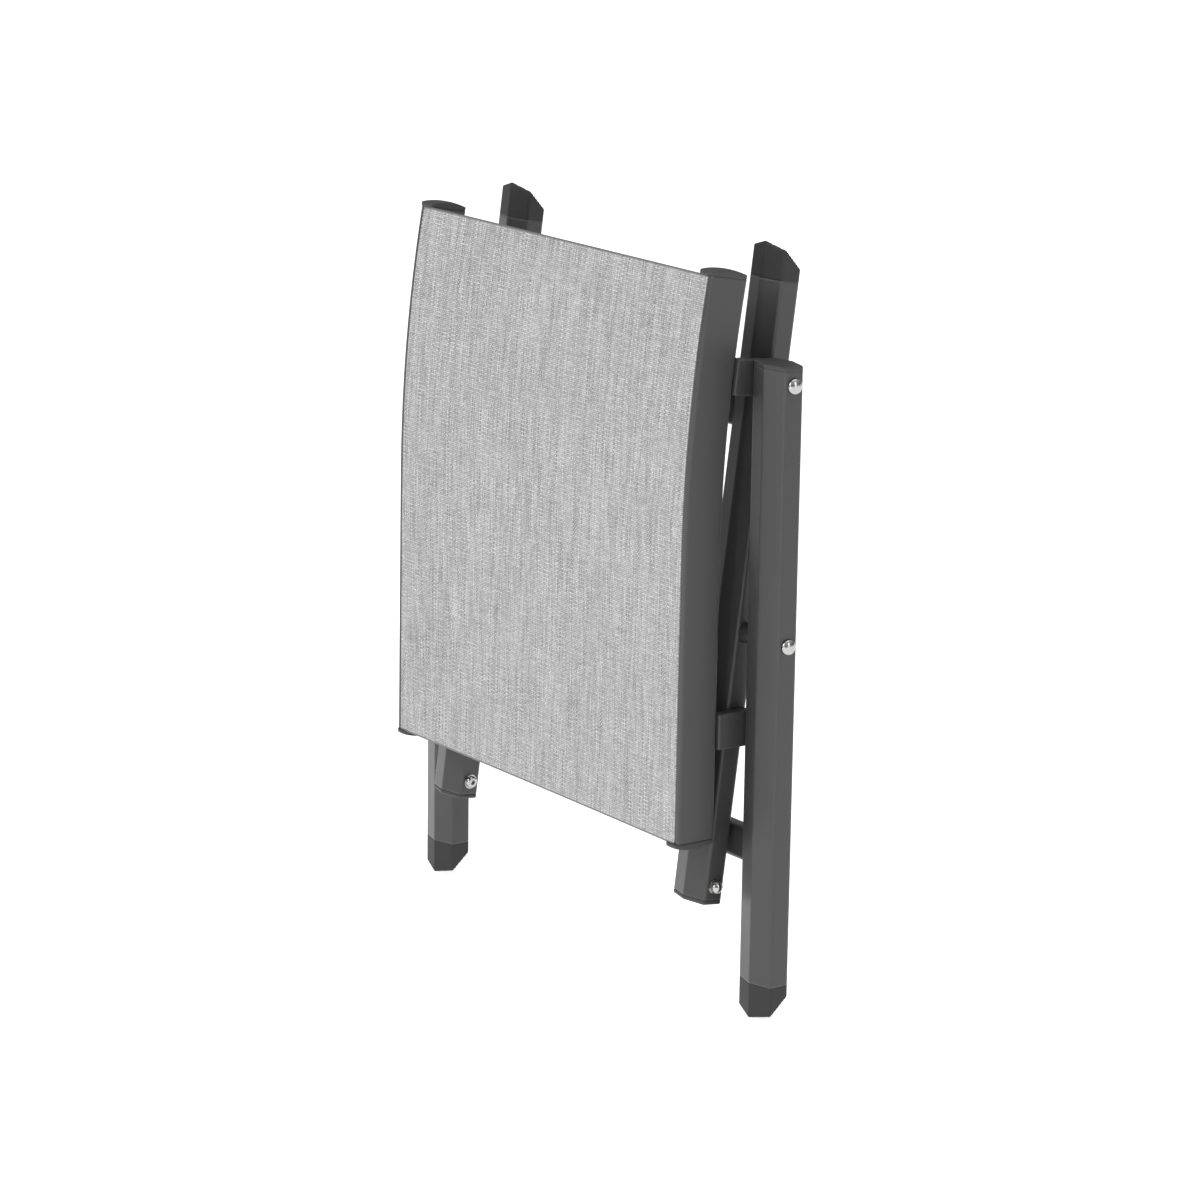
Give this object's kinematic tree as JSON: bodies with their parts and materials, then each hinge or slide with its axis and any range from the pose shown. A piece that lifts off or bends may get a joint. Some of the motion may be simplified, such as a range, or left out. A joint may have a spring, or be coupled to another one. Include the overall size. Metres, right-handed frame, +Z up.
{
  "type": "folding stool",
  "caption": "Folding stool or footrest with crossed tube legs, a woven sling seat on two side rails, and slanted feet, folded flat and standing upright.",
  "frame": {"origin": "middle of the folded stool's box, at the level of the outer feet's tips", "axes": "+X across the width, +Y towards the side behind the seat, +Z up along the folded legs, from the outer feet to the inner feet"},
  "size_m": [0.4928, 0.1248, 0.5986],
  "materials": {
    "frame_powder": "satin anthracite powder coat, fine texture",
    "bracket_powder": "satin anthracite powder coat",
    "foot_plastic": "moulded, fine grain",
    "cap_plastic": "moulded, fine grain",
    "bush_plastic": "moulded nylon",
    "sling_fabric": "woven coated yarn, grey melange",
    "edge_cord_plastic": "smooth extruded cord",
    "bright_steel": "bright stainless",
    "screw_steel": "zinc plated"
  },
  "bodies": {
    "outer_frame": {"outer_foot_left": "foot_plastic", "outer_foot_right": "foot_plastic", "outer_leg_cap_left": "cap_plastic", "outer_leg_cap_right": "cap_plastic", "outer_leg_left": "frame_powder", "outer_leg_right": "frame_powder", "outer_stretcher": "frame_powder", "scissor_bolt_left": "bright_steel", "scissor_bolt_right": "bright_steel", "scissor_nut_left": "bright_steel", "scissor_nut_right": "bright_steel", "scissor_spacer_left": "bush_plastic", "scissor_spacer_right": "bush_plastic", "scissor_washer_left": "bright_steel", "scissor_washer_right": "bright_steel", "seat_pivot_bolt_left": "bright_steel", "seat_pivot_bolt_right": "bright_steel", "seat_pivot_nut_left": "bright_steel", "seat_pivot_nut_right": "bright_steel", "seat_pivot_shim_left": "bright_steel", "seat_pivot_shim_right": "bright_steel", "seat_pivot_washer_left": "bright_steel", "seat_pivot_washer_right": "bright_steel"},
    "inner_frame": {"inner_foot_left": "foot_plastic", "inner_foot_right": "foot_plastic", "inner_leg_cap_left": "cap_plastic", "inner_leg_cap_right": "cap_plastic", "inner_leg_left": "frame_powder", "inner_leg_right": "frame_powder", "inner_stretcher": "frame_powder", "lock_nut_left": "bright_steel", "lock_nut_right": "bright_steel", "lock_pin_left": "bright_steel", "lock_pin_right": "bright_steel", "lock_washer_inner_left": "bright_steel", "lock_washer_inner_right": "bright_steel", "lock_washer_outer_left": "bright_steel", "lock_washer_outer_right": "bright_steel", "scissor_sleeve_left": "bush_plastic", "scissor_sleeve_right": "bush_plastic"},
    "seat": {"bracket_screws": "screw_steel", "catch_bracket_left": "bracket_powder", "catch_bracket_right": "bracket_powder", "edge_cord_left": "edge_cord_plastic", "edge_cord_right": "edge_cord_plastic", "pivot_bracket_left": "bracket_powder", "pivot_bracket_right": "bracket_powder", "rail_cap_front_left": "cap_plastic", "rail_cap_front_right": "cap_plastic", "rail_cap_rear_left": "cap_plastic", "rail_cap_rear_right": "cap_plastic", "seat_fabric": "sling_fabric", "seat_pivot_bush_left": "bush_plastic", "seat_pivot_bush_right": "bush_plastic", "seat_rail_left": "frame_powder", "seat_rail_right": "frame_powder", "seat_spreader_front": "frame_powder", "seat_spreader_rear": "frame_powder"}
  },
  "joints": [
    {"name": "leg_fold", "type": "hinge", "parent": "outer_frame", "child": "inner_frame", "pos_m": [0, 0.00878, 0.29982], "axis": [-1, 0, 0], "range_deg": [0, 89.7]},
    {"name": "seat_swing", "type": "hinge", "parent": "outer_frame", "child": "seat", "pos_m": [0, 0.0123, 0.50129], "axis": [-1, 0, 0], "range_deg": [0, 47.55]}
  ],
  "couplings": [
    {"joint": "seat_swing", "follows": "leg_fold", "ratio": 0.53}
  ]
}
